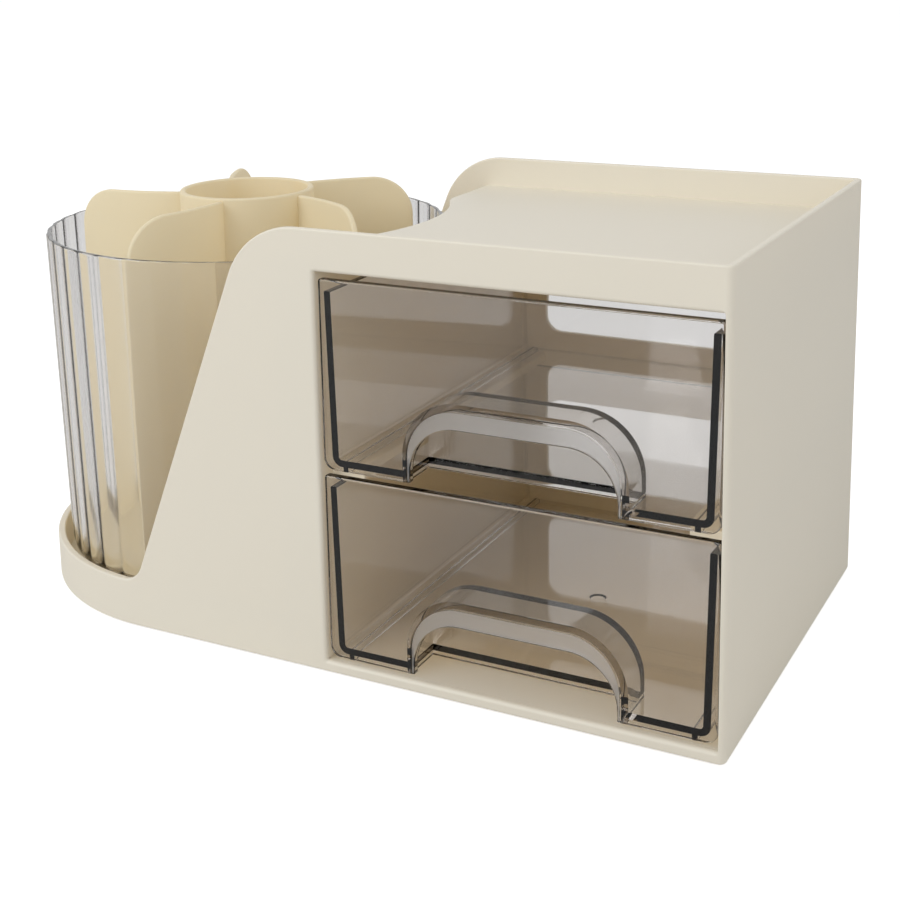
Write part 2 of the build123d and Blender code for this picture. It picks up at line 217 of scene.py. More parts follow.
def put(mesh: Mesh, name: str) -> Piece:
    """Turn a bmesh into an object in the scene and free the bmesh."""
    data = bpy.data.meshes.new(name)
    mesh.to_mesh(data)
    mesh.free()
    piece = bpy.data.objects.new(name, data)
    bpy.context.scene.collection.objects.link(piece)
    return piece


def settle(piece: Piece) -> None:
    """Replace a piece's mesh by what its modifiers make of it, and clear them."""
    bpy.context.view_layer.update()
    seen = piece.evaluated_get(bpy.context.evaluated_depsgraph_get())
    made = bpy.data.meshes.new_from_object(seen)
    piece.modifiers.clear()
    piece.data = made


def combine(piece: Piece, tool: Mesh, cut: Cut) -> None:
    """Change a closed piece by another closed mesh.

    Args:
        piece: the object that is changed.
        tool: the closed mesh that removes or joins, used up here.
        cut: what it does.
    """
    helper = put(tool, "helper")
    change = piece.modifiers.new("change", "BOOLEAN")
    change.object = helper
    change.operation = cut.value
    change.solver = "EXACT"
    settle(piece)
    bpy.data.objects.remove(helper, do_unlink=True)


def reshape(
    piece: Piece,
    cut: Cut,
    outline: Outline,
    low: float,
    high: float,
    direction: Direction = Direction.UP,
) -> None:
    """Change a closed piece by the prism that prism() makes of the other arguments."""
    combine(piece, prism(outline, low, high, direction), cut)


def divide(mesh: Mesh, spot: tuple[float, ...], across: tuple[float, ...]) -> None:
    """Cut a mesh's faces in two along a plane through a spot, and keep both sides."""
    everything = mesh.verts[:] + mesh.edges[:] + mesh.faces[:]
    bmesh.ops.bisect_plane(mesh, geom=everything, plane_co=spot, plane_no=across)


def bevel(
    mesh: Mesh, edges: list[bmesh.types.BMEdge], width: float, segments: int = 4
) -> None:
    """Round some edges of a mesh, starting a width back from each, in so many steps."""
    bmesh.ops.bevel(
        mesh,
        geom=edges,
        offset=width,
        affect="EDGES",
        segments=segments,
        profile=0.5,
        material=-1,
    )


def soften(
    piece: Piece,
    width: float,
    angle: float = 35.0,
    seat: float = math.inf,
    sectors: int = 0,
    centre_x: float = 0.0,
) -> None:
    """Round a piece's sharp outer edges and shade it smoothly between them.

    Args:
        piece: the object.
        width: how far back the rounding starts from each edge.
        angle: edges that turn less than this many degrees stay as they are.
        seat: height of the face that rests on another piece, whose edges stay sharp.
        sectors: cuts through an upright axis that divide the flat faces, so that none
            wraps round a hole.
        centre_x: where that axis stands on X.
    """
    limit = math.radians(angle)
    mesh = bmesh.new()
    mesh.from_mesh(piece.data)
    bmesh.ops.remove_doubles(mesh, verts=mesh.verts, dist=WELD_CUT)
    bmesh.ops.dissolve_limit(mesh, angle_limit=FLAT, verts=mesh.verts, edges=mesh.edges)
    for sector in range(sectors):
        turn = math.pi * (sector + SECTOR_START) / sectors
        divide(mesh, (centre_x, 0, 0), (math.cos(turn), math.sin(turn), 0))
    sharp = [
        edge
        for edge in mesh.edges
        if max(abs(vert.co.z - seat) for vert in edge.verts) > LEVEL
        and edge.is_convex
        and edge.calc_face_angle(0) > limit
    ]
    bevel(mesh, sharp, width, segments=3)
    bmesh.ops.recalc_face_normals(mesh, faces=mesh.faces)
    mesh.to_mesh(piece.data)
    mesh.free()
    shade(piece, angle)


def shade(piece: Piece, angle: float) -> None:
    """Shade a piece smoothly, except across edges that turn more than the angle, in degrees."""
    piece.data.polygons.foreach_set("use_smooth", [True] * len(piece.data.polygons))
    piece.data.set_sharp_from_angle(angle=math.radians(angle))
    weigh = piece.modifiers.new("even_shading", "WEIGHTED_NORMAL")
    weigh.keep_sharp = True


# Finishes


class Nodes:
    """The node tree of a material or a world, with short ways to add nodes."""

    def __init__(self, holder: Material | bpy.types.World) -> None:
        """Start an empty tree in its holder."""
        holder.use_nodes = True
        self.tree = holder.node_tree
        self.tree.nodes.clear()

    def add(self, kind: str, inputs: dict | None = None, **settings: object) -> bpy.types.Node:
        """Add a node, set its properties, then join or set each input that is named."""
        node = self.tree.nodes.new(kind)
        for key, value in settings.items():
            setattr(node, key, value)
        for key, value in (inputs or {}).items():
            if isinstance(value, Socket):
                self.tree.links.new(value, node.inputs[key])
            else:
                node.inputs[key].default_value = value
        return node

    def noise(self, scale: float, detail: float) -> Socket:
        """Noise in object coordinates, as a factor."""
        place = self.add("ShaderNodeTexCoord").outputs["Object"]
        inputs = {"Scale": scale, "Detail": detail, "Vector": place}
        return self.add("ShaderNodeTexNoise", inputs).outputs["Fac"]

    def span(
        self, factor: Socket, low: float | Socket, high: float
    ) -> Socket:
        """Stretch a factor to run from low to high."""
        inputs = {"To Min": low, "To Max": high, "Value": factor}
        return self.add("ShaderNodeMapRange", inputs).outputs["Result"]

    def tint(self, factor: Socket, low: Colour, high: Colour) -> Socket:
        """Blend between two colours by a factor."""
        inputs = {"A": (*low, 1), "B": (*high, 1), "Factor": factor}
        return self.add("ShaderNodeMix", inputs, data_type="RGBA").outputs["Result"]

    def bump(self, height: Socket, depth: float, strength: float) -> Socket:
        """Surface relief from a height, depth in metres."""
        inputs = {"Strength": strength, "Distance": depth, "Height": height}
        return self.add("ShaderNodeBump", inputs).outputs["Normal"]

    def mixed(
        self, share: float | Socket, first: bpy.types.Node, second: bpy.types.Node
    ) -> Socket:
        """Two surfaces mixed by the second one's share."""
        inputs = {"Fac": share, 1: first.outputs["BSDF"], 2: second.outputs["BSDF"]}
        return self.add("ShaderNodeMixShader", inputs).outputs["Shader"]

    def opaque(
        self,
        patches: Socket,
        grain: Socket,
        colours: tuple[Colour, Colour],
        roughness: Point,
        relief: Point,
    ) -> bpy.types.Node:
        """An opaque surface.

        Args:
            patches: noise that the colour follows.
            grain: noise that roughness and relief follow.
            colours: both ends of the colour.
            roughness: both ends of the roughness.
            relief: depth in metres and strength.

        Returns:
            The shader.
        """
        inputs = {
            "Base Color": self.tint(patches, *colours),
            "Roughness": self.span(grain, *roughness),
            "Normal": self.bump(grain, *relief),
        }
        return self.add("ShaderNodeBsdfPrincipled", inputs)


def material(name: str) -> tuple[Material, Nodes]:
    """A new material and its empty tree."""
    made = bpy.data.materials.new(name)
    return made, Nodes(made)


@dataclass(frozen=True)
class MouldedPlastic:
    """Moulded plastic with a fine eroded texture, which lets a little light through."""

    name: str
    colour: Colour
    shade_colour: Colour
    roughness: float = 0.42
    roughness_spread: float = 0.05
    ior: float = 1.5
    patches: float = 14.0
    grain: float = 2600.0
    detail: float = 2.0
    relief: Point = (0.012 * MM, 0.35)
    through: float = 0.0
    through_colour: Colour = (1.0, 0.95, 0.84)

    def build(self) -> Material:
        """Make the material.

        Returns:
            The finished material.
        """
        made, nodes = material(self.name)
        shader = nodes.opaque(
            nodes.noise(self.patches, self.detail),
            nodes.noise(self.grain, self.detail),
            (self.shade_colour, self.colour),
            (self.roughness - self.roughness_spread, self.roughness + self.roughness_spread),
            self.relief,
        )
        shader.inputs["IOR"].default_value = self.ior
        surface = shader.outputs["BSDF"]
        if self.through > 0:
            glow = {"Color": (*self.through_colour, 1)}
            behind = nodes.add("ShaderNodeBsdfTranslucent", glow)
            surface = nodes.mixed(self.through, shader, behind)
        nodes.add("ShaderNodeOutputMaterial", {"Surface": surface})
        return made


@dataclass(frozen=True)
class ClearPlastic:
    """Polished see-through plastic, tinted in its depth and frosted where a mesh marks it."""

    name: str
    tint: Colour
    density: float
    shadow: Colour
    roughness: float = 0.02
    ior: float = 1.52
    ripple: float = 120.0
    ripple_detail: float = 1.0
    ripple_relief: Point = (0.004 * MM, 0.1)
    frost: float = 0.0
    frost_clearness: float = 1.0

    def build(self) -> Material:
        """Make the material.

        Returns:
            The finished material. Light that only passes through on its way to another
            surface is let through in the shadow colour, so that what stands behind is lit.
        """
        made, nodes = material(self.name)
        flow = nodes.noise(self.ripple, self.ripple_detail)
        rough = nodes.span(flow, self.roughness * 0.5, self.roughness * 1.5)
        clearness: float | Socket = 1.0
        if self.frost > 0:
            marked = nodes.add("ShaderNodeAttribute", attribute_name="frosted").outputs["Fac"]
            rough = nodes.span(marked, rough, self.frost)
            clearness = nodes.span(marked, 1.0, self.frost_clearness)
        inputs = {
            "Base Color": (1, 1, 1, 1),
            "IOR": self.ior,
            "Transmission Weight": clearness,
            "Roughness": rough,
            "Normal": nodes.bump(flow, *self.ripple_relief),
        }
        shader = nodes.add("ShaderNodeBsdfPrincipled", inputs)
        path = nodes.add("ShaderNodeLightPath").outputs
        rays = {0: path["Is Shadow Ray"], 1: path["Is Diffuse Ray"]}
        either = nodes.add("ShaderNodeMath", rays, operation="MAXIMUM").outputs["Value"]
        clear = nodes.add("ShaderNodeBsdfTransparent", {"Color": (*self.shadow, 1)})
        depth = {"Color": (*self.tint, 1), "Density": self.density}
        volume = nodes.add("ShaderNodeVolumeAbsorption", depth).outputs["Volume"]
        surface = nodes.mixed(either, shader, clear)
        nodes.add("ShaderNodeOutputMaterial", {"Surface": surface, "Volume": volume})
        return made


@dataclass(frozen=True)
class PlatedSteel:
    """Small steel parts with a fine brushed or polished surface."""

    name: str
    colour: Colour = (0.62, 0.62, 0.64)
    roughness: float = 0.28
    grain: float = 1800.0
    detail: float = 4.0
    darkening: float = 0.8
    relief: Point = (0.01 * MM, 0.2)

    def build(self) -> Material:
        """Make the material."""
        made, nodes = material(self.name)
        fine = nodes.noise(self.grain, self.detail)
        dark = tuple(self.darkening * part for part in self.colour)
        rough = (self.roughness * 0.7, self.roughness * 1.3)
        shader = nodes.opaque(fine, fine, (dark, self.colour), rough, self.relief)
        shader.inputs["Metallic"].default_value = 1.0
        nodes.add("ShaderNodeOutputMaterial", {"Surface": shader.outputs["BSDF"]})
        return made


@dataclass(frozen=True)
class FootRubber:
    """Matt foam rubber of the pads."""

    name: str
    colour: Colour = (0.28, 0.27, 0.25)
    roughness: Point = (0.75, 0.95)
    grain: float = 1500.0
    detail: float = 6.0
    darkening: float = 0.6
    relief: Point = (0.05 * MM, 0.5)

    def build(self) -> Material:
        """Make the material."""
        made, nodes = material(self.name)
        cells = nodes.noise(self.grain, self.detail)
        dark = tuple(self.darkening * part for part in self.colour)
        shader = nodes.opaque(cells, cells, (dark, self.colour), self.roughness, self.relief)
        nodes.add("ShaderNodeOutputMaterial", {"Surface": shader.outputs["BSDF"]})
        return made


FINISHES = {
    "cream": MouldedPlastic(
        "cream_shell",
        (0.94, 0.895, 0.775),
        (0.92, 0.875, 0.755),
        through=0.1,
        through_colour=(1.0, 0.84, 0.6),
    ),
    "cream_divider": MouldedPlastic(
        "cream_divider", (0.97, 0.885, 0.66), (0.95, 0.865, 0.635), through=0.38
    ),
    "clear": ClearPlastic(
        "clear_cup", (0.74, 0.71, 0.70), 100.0, (0.99, 0.99, 0.99), roughness=0.08
    ),
    "smoked": ClearPlastic(
        "smoked_drawers",
        (0.62, 0.575, 0.535),
        75.0,
        (1.0, 0.972, 0.92),
        frost=0.4,
        frost_clearness=0.84,
    ),
    "cage": MouldedPlastic("white_cage", (0.80, 0.80, 0.79), (0.77, 0.77, 0.76)),
    "steel": PlatedSteel("plated_steel"),
    "balls": PlatedSteel("ball_steel", (0.75, 0.75, 0.77), 0.08),
    "rubber": FootRubber("foot_rubber"),
}


def dress(piece: Piece, finish: Material) -> None:
    """Give a piece its finish.

    Args:
        piece: the object.
        finish: its material.
    """
    piece.data.materials.clear()
    piece.data.materials.append(finish)
    LOG.info("%s wears %s", piece.name, finish.name)


# Sub-assemblies


@dataclass(frozen=True)
class Layout:
    """Places that the sub-assemblies share, in metres, read from the frame."""

    wall: float = 2.0 * MM
    inner_wall: float = 1.8 * MM
    drawer_height: float = 55.0 * MM
    floor_rise: float = 3.3 * MM
    headroom: float = 2.2 * MM
    left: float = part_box("housing")[0][0]
    right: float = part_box("housing")[1][0]
    front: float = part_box("housing")[0][1]
    back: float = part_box("housing")[1][1]
    bottom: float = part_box("housing")[0][2]
    top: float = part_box("housing")[1][2]
    floor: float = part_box("housing")[0][2] + floor_rise
    lower_z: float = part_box("lower_drawer")[1][2] - drawer_height
    upper_z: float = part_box("upper_drawer")[1][2] - drawer_height

    @property
    def end_radius(self) -> float:
        """Radius of the rounded end."""
        return self.back

    @property
    def cup_x(self) -> float:
        """Where the cup's axis stands on X."""
        return self.left + self.end_radius

    @property
    def cavity_right(self) -> float:
        """Right side of the drawer cavity."""
        return self.right - self.wall

    @property
    def cavity_left(self) -> float:
        """Left side of the drawer cavity."""
        middle = (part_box("lower_drawer")[0][0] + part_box("lower_drawer")[1][0]) / 2
        return 2 * middle - self.cavity_right

    @property
    def cavity_top(self) -> float:
        """Ceiling of the drawer cavity."""
        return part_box("upper_drawer")[1][2] + self.headroom

    @property
    def panel(self) -> float:
        """Distance of the panels' inner faces from the middle."""
        return self.back - self.wall


@dataclass
class Housing:
    """The cream housing: panels, top tray, drawer cavity and the low wall under the cup."""

    layout: Layout
    shelf: float = 1.9 * MM
    rim_height: float = 11.2 * MM
    rim_wall: float = 2.4 * MM
    corner: float = 2.0 * MM
    inner_corner: float = 0.8 * MM
    deck_reach: float = 35.0 * MM
    pocket_radius: float = 67.0 * MM
    column: float = 12.2 * MM
    column_round: float = 4.0 * MM
    shoulder: float = 22.4 * MM
    shoulder_radius: float = 24.0 * MM
    slope_foot_radius: float = 8.0 * MM
    bite: float = 0.6 * MM
    edge: float = 0.6 * MM
    opening_round: float = 1.2 * MM
    opening_right: float = 0.35 * MM
    opening_corner: float = 0.4 * MM
    pocket_skin: float = 1.0 * MM
    rail_width: float = 10.5 * MM
    rail_thickness: float = 3.0 * MM
    rail_start: float = 7.0 * MM
    rail_drop: float = 0.9 * MM
    window: Point = (94.0 * MM, 30.0 * MM)
    window_radius: float = 5.5 * MM
    window_sill: float = 9.1 * MM
    round_steps: int = 96
    corner_steps: int = 6
    knee_steps: int = 8
    sectors: int = 8

    def stadium(self, shrink: float, corner: float) -> Outline:
        """Plan of the housing, moved inwards.

        Args:
            shrink: how far inwards.
            corner: radius of the two corners on the drawer side.

        Returns:
            The closed plan.
        """
        place = self.layout
        radius = place.end_radius - shrink
        right = place.right - shrink - corner
        side = radius - corner
        plan = arc((right, -side), corner, -90, 0, self.corner_steps)
        plan += arc((right, side), corner, 0, 90, self.corner_steps)
        plan += arc((place.cup_x, 0), radius, 90, 270, self.round_steps)
        return plan

    def slope(self) -> Outline:
        """Everything left of the sloping edge, above the low wall, in (x, z)."""
        place = self.layout
        rim = place.floor + self.rim_height
        over = place.top + place.wall
        corner = place.cavity_left - self.shoulder
        far = place.left - place.wall
        end = corner + self.shoulder_radius
        line = rounded(
            [(far, rim), (place.cup_x, rim), (corner, place.top), (end, place.top)],
            [0, self.slope_foot_radius, self.shoulder_radius, 0],
            24,
        )
        return line + [(end, over), (far, over)]

    def pocket_line(self, radius: float, column: float) -> Outline:
        """Free edge of the top tray beside the cup, from front to back.

        Args:
            radius: radius of its round middle stretch.
            column: where its straight ends stand on X.

        Returns:
            The points of the line.
        """
        place = self.layout
        reach = column - place.cup_x
        turn = math.degrees(math.acos(reach / radius))
        side = place.panel + self.bite
        trim = math.degrees(self.column_round / radius)
        end = turn - trim
        round_part = arc((place.cup_x, 0), radius, -end, end, self.round_steps // 2)
        knee = (column, radius * math.sin(math.radians(turn)))
        straight = (column, knee[1] + self.column_round)
        blend = []
        for step in range(self.knee_steps + 1):
            share = step / self.knee_steps
            blend.append(
                tuple(
                    (1 - share) ** 2 * a + 2 * share * (1 - share) * b + share**2 * c
                    for a, b, c in zip(straight, knee, round_part[-1])
                )
            )
        mirrored = [(x, -y) for x, y in blend]
        ends = [(column, -side)], [(column, side)]
        return ends[0] + mirrored + round_part[1:-1] + blend[::-1] + ends[1]

    def build(self) -> Piece:
        """Make the housing.

        Returns:
            The housing as one closed mesh.
        """
        place = self.layout
        rim = place.floor + self.rim_height
        side = place.panel + self.bite
        below, over = place.bottom - place.wall, place.top + place.wall
        before, behind = place.front - place.wall, place.back + place.wall
        piece = put(prism(self.stadium(0, self.corner), place.bottom, place.top), "housing_shell")
        reshape(piece, Cut.REMOVE, self.stadium(place.wall, self.inner_corner), below, over)
        column = place.cavity_left - self.column
        right = place.cavity_right + self.bite
        edge_line = self.pocket_line(self.pocket_radius, column)
        slab = edge_line[::-1] + [(right, -side), (right, side)]
        reshape(piece, Cut.JOIN, slab, place.cavity_top, place.cavity_top + self.shelf)
        skin = self.pocket_skin
        wall = edge_line + self.pocket_line(self.pocket_radius + skin, column + skin)[::-1]
        inner_left = place.cavity_left - place.inner_wall
        partition = rectangle((inner_left, -side), (place.cavity_left, side))
        for upright in (wall, partition):
            reshape(piece, Cut.JOIN, upright, place.floor, place.cavity_top + self.bite)
        combine(piece, self.low_wall(column, rim), Cut.JOIN)
        reshape(piece, Cut.REMOVE, self.slope(), before, behind, Direction.BACK)
        rail = place.upper_z - self.rail_drop
        start = place.front + self.rail_start
        for x_low, x_high in (
            (place.cavity_left - self.bite, place.cavity_left + self.rail_width),
            (place.cavity_right - self.rail_width, right),
        ):
            strip = rectangle((x_low, start), (x_high, side))
            reshape(piece, Cut.JOIN, strip, rail - self.rail_thickness, rail)
        combine(piece, self.opening(), Cut.REMOVE)
        middle = (place.cavity_left + place.cavity_right) / 2
        for z in (place.lower_z + self.window_sill, place.upper_z + self.window_sill):
            low = (middle - self.window[0] / 2, z)
            high = (middle + self.window[0] / 2, z + self.window[1])
            hole = rounded(rectangle(low, high), [self.window_radius] * 4)
            reshape(piece, Cut.REMOVE, hole, place.panel - place.wall, behind, Direction.BACK)
        soften(piece, self.edge, seat=place.floor, sectors=self.sectors, centre_x=place.cup_x)
        for vert in piece.data.vertices:
            vert.co.y = min(max(vert.co.y, place.front), place.back)
        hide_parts("housing")
        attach(piece, "base")
        return piece

    def low_wall(self, column: float, rim: float) -> Mesh:
        """Low round wall under the cup, with the decks beside the columns.

        Args:
            column: left side of the columns on X.
            rim: height of its top.

        Returns:
            The closed body.
        """
        place = self.layout
        centre = (place.cup_x, 0)
        radius = place.end_radius - self.rim_wall
        outside = arc(centre, radius + place.inner_wall, 0, 360, 2 * self.round_steps)[1:]
        ring = put(prism(outside, place.floor, rim), "helper_ring")
        hole = arc(centre, radius, 0, 360, 2 * self.round_steps)[1:]
        reshape(ring, Cut.REMOVE, hole, place.floor - place.wall, rim + place.wall)
        for sign in (-1, 1):
            deck = self.deck(sign, column, column - self.deck_reach, radius + self.bite)
            reshape(ring, Cut.JOIN, deck, rim - place.inner_wall, rim)
        mesh = bmesh.new()
        mesh.from_mesh(ring.data)
        bpy.data.objects.remove(ring, do_unlink=True)
        return mesh

    def opening(self) -> Mesh:
        """Front opening of the cavity, flared where the panel's edge is rounded.

        Returns:
            The closed body that the opening takes away.
        """
        place = self.layout
        radius = self.opening_round
        sections = [(place.front - place.wall, radius), (place.front, radius)]
        for step in range(1, self.corner_steps + 1):
            angle = math.radians(90 * step / self.corner_steps)
            level = place.front + radius * (1 - math.cos(angle))
            sections.append((level, radius * (1 - math.sin(angle))))
        sections.append((-place.panel + place.wall, 0.0))
        rings = []
        for level, grow in sections:
            low = (place.cavity_left - grow, place.floor - grow)
            right = place.cavity_right + grow * self.opening_right / radius
            corners = rectangle(low, (right, place.cavity_top + grow))
            rings.append((level, rounded(corners, [grow + self.opening_corner] * 4, 4)))
        return drawn_out(rings, Direction.BACK)

    def deck(self, sign: int, column: float, left: float, radius: float) -> Outline:
        """Deck between the low wall and a column.

        Args:
            sign: -1 for the front deck, 1 for the back one.
            column: right end of the deck on X.
            left: left end on X.
            radius: where the deck ends inside the low wall.

        Returns:
            The closed plan of the deck.
        """
        place = self.layout
        right = column + self.bite
        side = sign * (place.panel + self.bite)
        start = math.degrees(math.acos((right - place.cup_x) / radius))
        end = math.degrees(math.acos((left - place.cup_x) / radius))
        curve = arc((place.cup_x, 0), radius, sign * start, sign * end, 24)
        return curve + [(left, side), (right, side)]


@dataclass
class Cup:
    """The clear fluted cup."""

    layout: Layout
    height: float = 107.2 * MM
    rim_radius: float = 65.2 * MM
    draft: float = 2.0 * MM
    wall: float = 1.6 * MM
    floor: float = 2.0 * MM
    foot_round: float = 5.0 * MM
    lip: float = 0.5 * MM
    flutes: int = 42
    flute_depth: float = 0.5 * MM
    flute_power: float = 2.0
    steps_per_flute: int = 16
    ring_radius: float = 54.4 * MM
    ring_wall: float = 1.8 * MM
    ring_height: float = 1.6 * MM
    ring_edge: float = 0.3 * MM
    hair: float = 0.03 * MM
    levels: int = 10

    def radius_at(self, height: float) -> float:
        """Radius of the flutes' crests at a height above the cup's foot."""
        return self.rim_radius - self.draft * (1 - height / self.height)

    def profile(self, foot: float) -> Outline:
        """Section of the cup, from the middle of its underside round to the middle of its floor.

        Its underside inside the ring stands a hair above the disc that carries it.

        Args:
            foot: height of the cup's underside.

        Returns:
            Points in (radius, z).
        """
        inside, outside = self.ring_radius, self.ring_radius + self.ring_wall
        soft = self.ring_edge
        points = [(0.0, self.hair), (inside - soft, self.hair)]
        points += [(inside, -soft), (inside, -self.ring_height + soft)]
        points += [(inside + soft, -self.ring_height), (outside - soft, -self.ring_height)]
        points += [(outside, -self.ring_height + soft), (outside, -soft), (outside + soft, 0.0)]
        low_round = (self.radius_at(0) - self.foot_round, self.foot_round)
        points += arc(low_round, self.foot_round, -90, 0, 10)
        for level in range(1, self.levels + 1):
            rise = (self.height - self.lip - self.foot_round) * level / self.levels
            height = self.foot_round + rise
            points.append((self.radius_at(height), height))
        points += arc((self.rim_radius - self.lip, self.height - self.lip), self.lip, 0, 90, 4)[1:]
        inner_lip = 0.6 * self.lip
        inner_edge = (self.rim_radius - self.wall + inner_lip, self.height - inner_lip)
        points += arc(inner_edge, inner_lip, 90, 180, 4)
        inner_round = self.foot_round - self.wall
        for level in range(1, self.levels):
            drop = (self.height - self.floor - inner_round) * level / self.levels
            height = self.height - drop
            points.append((self.radius_at(height) - self.wall, height))
        inner_foot = self.radius_at(self.floor) - self.wall
        points += arc((inner_foot - inner_round, self.floor + inner_round), inner_round, 0, -90, 8)
        points.append((0.0, self.floor))
        return [(radius, foot + height) for radius, height in points]

    def build(self) -> Piece:
        """Make the cup.

        Returns:
            The cup as one closed mesh.
        """
        centre = self.layout.cup_x
        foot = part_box("cup")[0][2] + self.ring_height
        mesh = turned(self.profile(foot), centre, self.flutes * self.steps_per_flute)
        pitch = math.tau / self.flutes
        for vert in mesh.verts:
            height = vert.co.z - foot
            radius = math.hypot(vert.co.x - centre, vert.co.y)
            share = min(1.0, height / self.foot_round)
            within = self.radius_at(height) - self.wall / 2 - (1 - share) * self.foot_round
            if share <= 0 or radius < within:
                continue
            if share < 1 and height > self.floor and radius < self.radius_at(height) - self.wall:
                continue
            turn = math.atan2(vert.co.y, vert.co.x - centre)
            along = (turn / pitch + 0.5) % 1 * 2 - 1
            scale = 1 - share * self.flute_depth * abs(along) ** self.flute_power / radius
            vert.co.x = centre + (vert.co.x - centre) * scale
            vert.co.y *= scale
        piece = put(mesh, "cup_shell")
        shade(piece, 30)
        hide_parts("cup")
        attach(piece, "cup")
        return piece


@dataclass
class Divider:
    """The cream divider: a tube with swept fins on a round foot."""

    layout: Layout
    tube_radius: float = 22.0 * MM
    tube_wall: float = 2.0 * MM
    floor: float = 1.6 * MM
    fins: int = 5
    thickness: float = 1.8 * MM
    drop: float = 0.8 * MM
    reach: float = 58.8 * MM
    corner: float = 13.0 * MM
    root_angle: float = -5.3
    tip_angle: float = -21.3
    edge: float = 0.7 * MM
    foot_chamfer: float = 1.0 * MM
    foot_edge: float = 0.4 * MM
    fillet: float = 1.2 * MM
    turn_steps: int = 144
    stations: int = 24

    def spine(self, radius: float, turn: float) -> tuple[Vector, Vector]:
        """Middle line of a fin in plan.

        Args:
            radius: distance from the cup's axis.
            turn: angle of the fin round the tube, in degrees.

        Returns:
            The point and the unit vector square to the fin there.
        """
        start = self.tube_radius - self.tube_wall / 2
        share = (radius - start) / (self.reach - start)
        angle = math.radians(turn + self.root_angle + share * (self.tip_angle - self.root_angle))
        slope = math.radians(self.tip_angle - self.root_angle) / (self.reach - start)
        outward = Vector((math.cos(angle), math.sin(angle)))
        sideways = Vector((-math.sin(angle), math.cos(angle)))
        along = (outward + sideways * radius * slope).normalized()
        return outward * radius, Vector((-along.y, along.x))

    def fin(self, turn: float, low: float, high: float) -> Mesh:
        """One fin, built flat and then bent to its swept line.

        Args:
            turn: angle round the tube, in degrees.
            low: height of its foot.
            high: height of its top.

        Returns:
            The bent fin.
        """
        start = self.tube_radius - self.tube_wall / 2
        corners = rectangle((start, low), (self.reach, high))
        blade = rounded(corners, [0, 0, self.corner, 0], 14)
        mesh = prism(blade, -self.thickness / 2, self.thickness / 2, Direction.BACK)
        sharp = [edge for edge in mesh.edges if edge.calc_face_angle(0) > math.radians(60)]
        rising = [edge for edge in sharp if max(vert.co.z for vert in edge.verts) > low + self.edge]
        root = start + self.edge
        free = [edge for edge in rising if max(vert.co.x for vert in edge.verts) > root]
        bevel(mesh, free, self.edge)
        for station in range(1, self.stations):
            cut = start + (self.reach - start) * station / self.stations
            divide(mesh, (cut, 0, 0), (1, 0, 0))
        for vert in mesh.verts:
            centre, across = self.spine(vert.co.x, turn)
            spot = centre + across * vert.co.y
            vert.co.x, vert.co.y = self.layout.cup_x + spot.x, spot.y
        return mesh

    def build(self) -> Piece:
        """Make the divider.

        Returns:
            The divider with its tube, foot and fins as one object.
        """
        low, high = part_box("divider")[0][2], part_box("divider")[1][2]
        soft, rim, fillet = self.edge, self.foot_edge, self.fillet
        inner = self.tube_radius - self.tube_wall
        chamfer = self.foot_chamfer
        profile = [(0.0, low), (self.reach - chamfer, low), (self.reach, low + chamfer)]
        profile += arc((self.reach - rim, low + self.floor - rim), rim, 0, 90, 3)
        profile += arc((self.tube_radius + fillet, low + self.floor + fillet), fillet, 270, 180, 5)
        profile += arc((self.tube_radius - soft, high - soft), soft, 0, 90, 5)
        profile += arc((inner + soft, high - soft), soft, 90, 180, 5)
        profile += arc((inner - fillet, low + self.floor + fillet), fillet, 0, -90, 5)
        profile.append((0.0, low + self.floor))
        whole = turned(profile, self.layout.cup_x, self.turn_steps)
        for index in range(self.fins):
            fin = self.fin(index * 360 / self.fins, low + self.floor / 2, high - self.drop)
            data = bpy.data.meshes.new("helper")
            fin.to_mesh(data)
            fin.free()
            whole.from_mesh(data)
            bpy.data.meshes.remove(data)
        piece = put(whole, "divider_body")
        shade(piece, 35)
        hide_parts("divider")
        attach(piece, "divider")
        return piece


